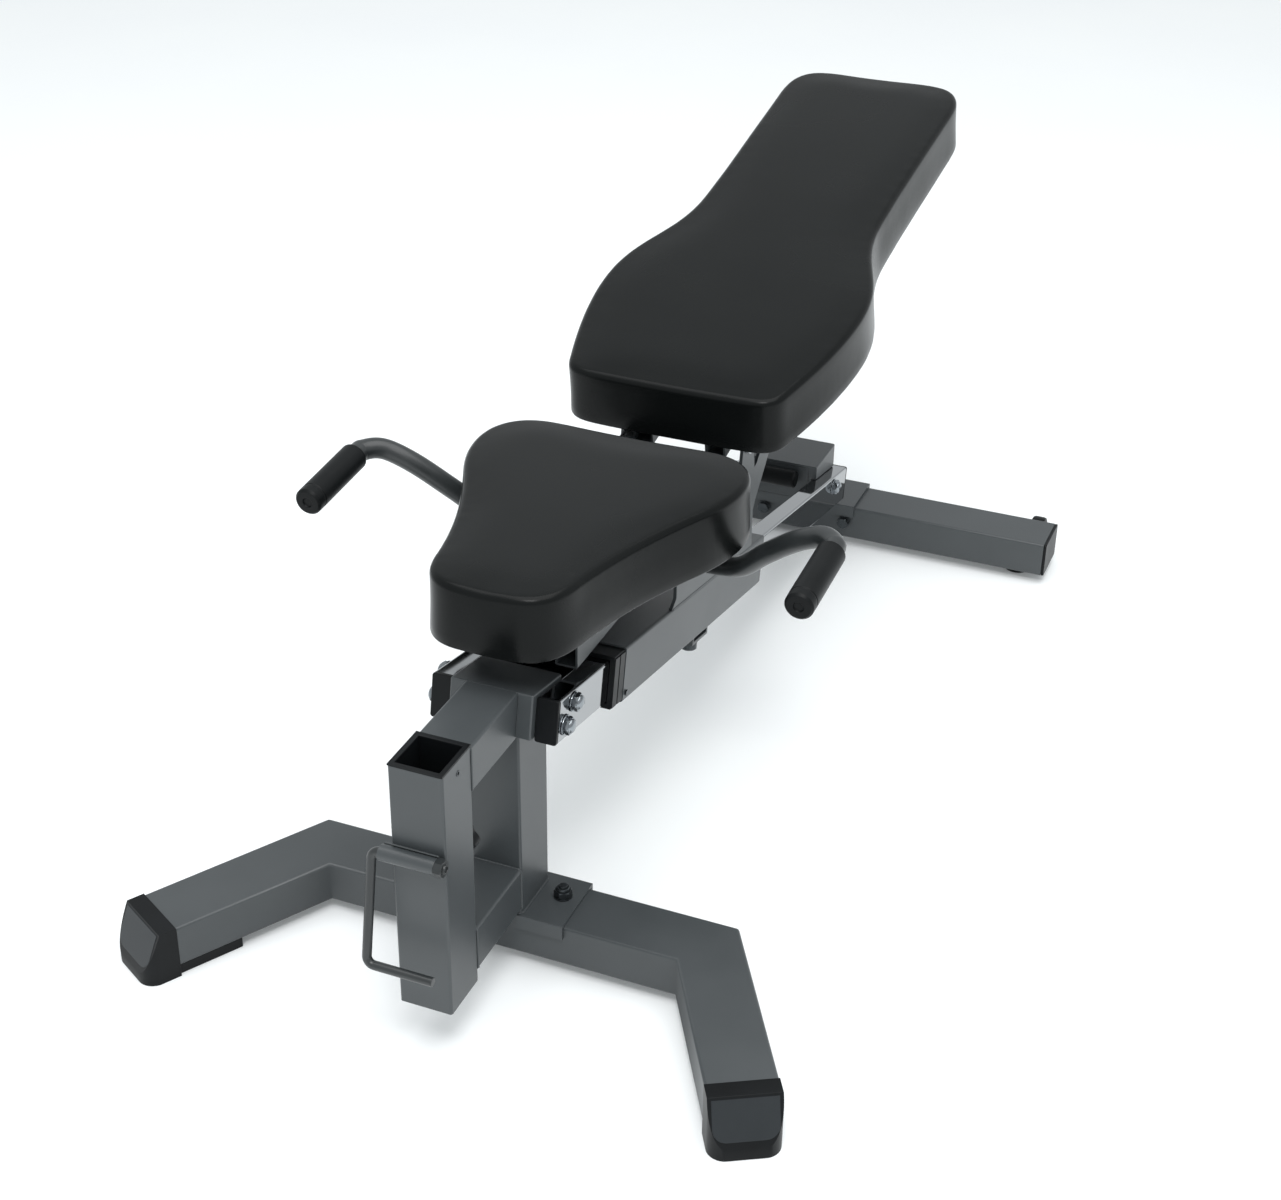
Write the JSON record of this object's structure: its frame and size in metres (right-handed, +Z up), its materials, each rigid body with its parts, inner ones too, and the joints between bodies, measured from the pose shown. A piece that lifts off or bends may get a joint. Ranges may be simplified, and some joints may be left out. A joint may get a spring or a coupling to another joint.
{
  "type": "adjustable weight bench",
  "caption": "Weight bench on a forked front foot: seat, inclining backrest and hand grips ride a carriage along sloped chrome rails, with a square accessory socket in front.",
  "frame": {"origin": "middle of the bench's plan at floor level", "axes": "+X to the sitter's right, +Y from the front fork to the head end, +Z up"},
  "size_m": [0.7768, 1.5474, 0.6384],
  "materials": {
    "paint": "semi-gloss dark grey powder coat",
    "chrome": "mirror chrome plate",
    "plastic": "fine-grained black polypropylene",
    "rubber": "black moulded rubber",
    "tyre": "black rubber tread",
    "dark_steel": "black oxide steel",
    "zinc": "bright zinc plate",
    "leatherette": "smooth black vinyl leatherette",
    "board": "black-painted plywood"
  },
  "bodies": {
    "base": {"front_foot": "paint", "front_saddle": "paint", "column": "paint", "upper_arm": "paint", "lower_arm": "paint", "receiver_tube": "paint", "handle_sleeve": "paint", "head_bracket": "paint", "rear_bracket": "paint", "rear_post": "paint", "rear_saddle": "paint", "rear_foot": "paint", "wheel_bracket_left": "paint", "wheel_bracket_right": "paint", "rail_left": "chrome", "rail_right": "chrome", "front_rail_bolt_upper": "chrome", "front_rail_bolt_lower": "chrome", "rear_rail_bolt": "chrome", "front_shoe_left": "plastic", "front_shoe_right": "plastic", "receiver_liner": "plastic", "rail_cap_front_left": "plastic", "rail_cap_front_right": "plastic", "rail_cap_rear_left": "plastic", "rail_cap_rear_right": "plastic", "rear_cap_left": "plastic", "rear_cap_right": "plastic", "rear_pad_left": "rubber", "rear_pad_right": "rubber", "stop_buffer": "rubber", "saddle_bolt_left": "dark_steel", "saddle_bolt_right": "dark_steel"},
    "carriage_body": {"carriage": "paint", "bush_front": "plastic", "bush_rear": "plastic", "side_plate_left": "paint", "side_plate_right": "paint", "hinge_axle": "zinc", "seat_pivot_bolt": "zinc", "rest_bar": "rubber", "handle_left": "paint", "handle_right": "paint", "grip_left": "rubber", "grip_right": "rubber", "lock_bracket": "paint"},
    "seat_body": {"seat_frame": "paint", "seat_board": "board", "seat_pad": "leatherette"},
    "backrest_body": {"back_frame": "paint", "back_board": "board", "back_pad": "leatherette", "lock_sector": "zinc"},
    "carriage_lock": {"lock_pin": "dark_steel"},
    "backrest_lock": {"backrest_lock_pin": "dark_steel"},
    "lift_handle_body": {"lift_handle": "dark_steel"},
    "clamp_body": {"clamp_knob": "plastic"},
    "wheel_left_body": {"wheel_left": "tyre"},
    "wheel_right_body": {"wheel_right": "tyre"}
  },
  "joints": [
    {"name": "carriage_slide", "type": "slide", "parent": "base", "child": "carriage_body", "axis": [0, 0.9813, -0.1925], "range_m": [-0.055, 0.262]},
    {"name": "backrest_tilt", "type": "hinge", "parent": "carriage_body", "child": "backrest_body", "pos_m": [0, -0.01083, 0.404], "axis": [1, 0, 0], "range_deg": [-9.7, 70]},
    {"name": "seat_tilt", "type": "hinge", "parent": "carriage_body", "child": "seat_body", "pos_m": [0, -0.19883, 0.37], "axis": [1, 0, 0], "range_deg": [-20, 0]},
    {"name": "carriage_lock_pull", "type": "slide", "parent": "carriage_body", "child": "carriage_lock", "axis": [0, -0.1925, -0.9813], "range_m": [0, 0.01], "stiffness_N_per_m": 400, "springref_m": -0.006},
    {"name": "backrest_lock_pull", "type": "slide", "parent": "carriage_body", "child": "backrest_lock", "axis": [-1, 0, 0], "range_m": [0, 0.012], "stiffness_N_per_m": 400, "springref_m": -0.006},
    {"name": "lift_handle_swing", "type": "hinge", "parent": "base", "child": "lift_handle_body", "pos_m": [0, -0.74433, 0.258], "axis": [1, 0, 0], "range_deg": [-150, 11]},
    {"name": "clamp_knob_turn", "type": "hinge", "parent": "base", "child": "clamp_body", "pos_m": [0, -0.65883, 0.22], "axis": [0, 1, 0], "continuous": true},
    {"name": "wheel_spin_left", "type": "hinge", "parent": "base", "child": "wheel_left_body", "pos_m": [-0.334, 0.60717, 0.027], "axis": [1, 0, 0], "continuous": true},
    {"name": "wheel_spin_right", "type": "hinge", "parent": "base", "child": "wheel_right_body", "pos_m": [0.334, 0.60717, 0.027], "axis": [1, 0, 0], "continuous": true}
  ]
}
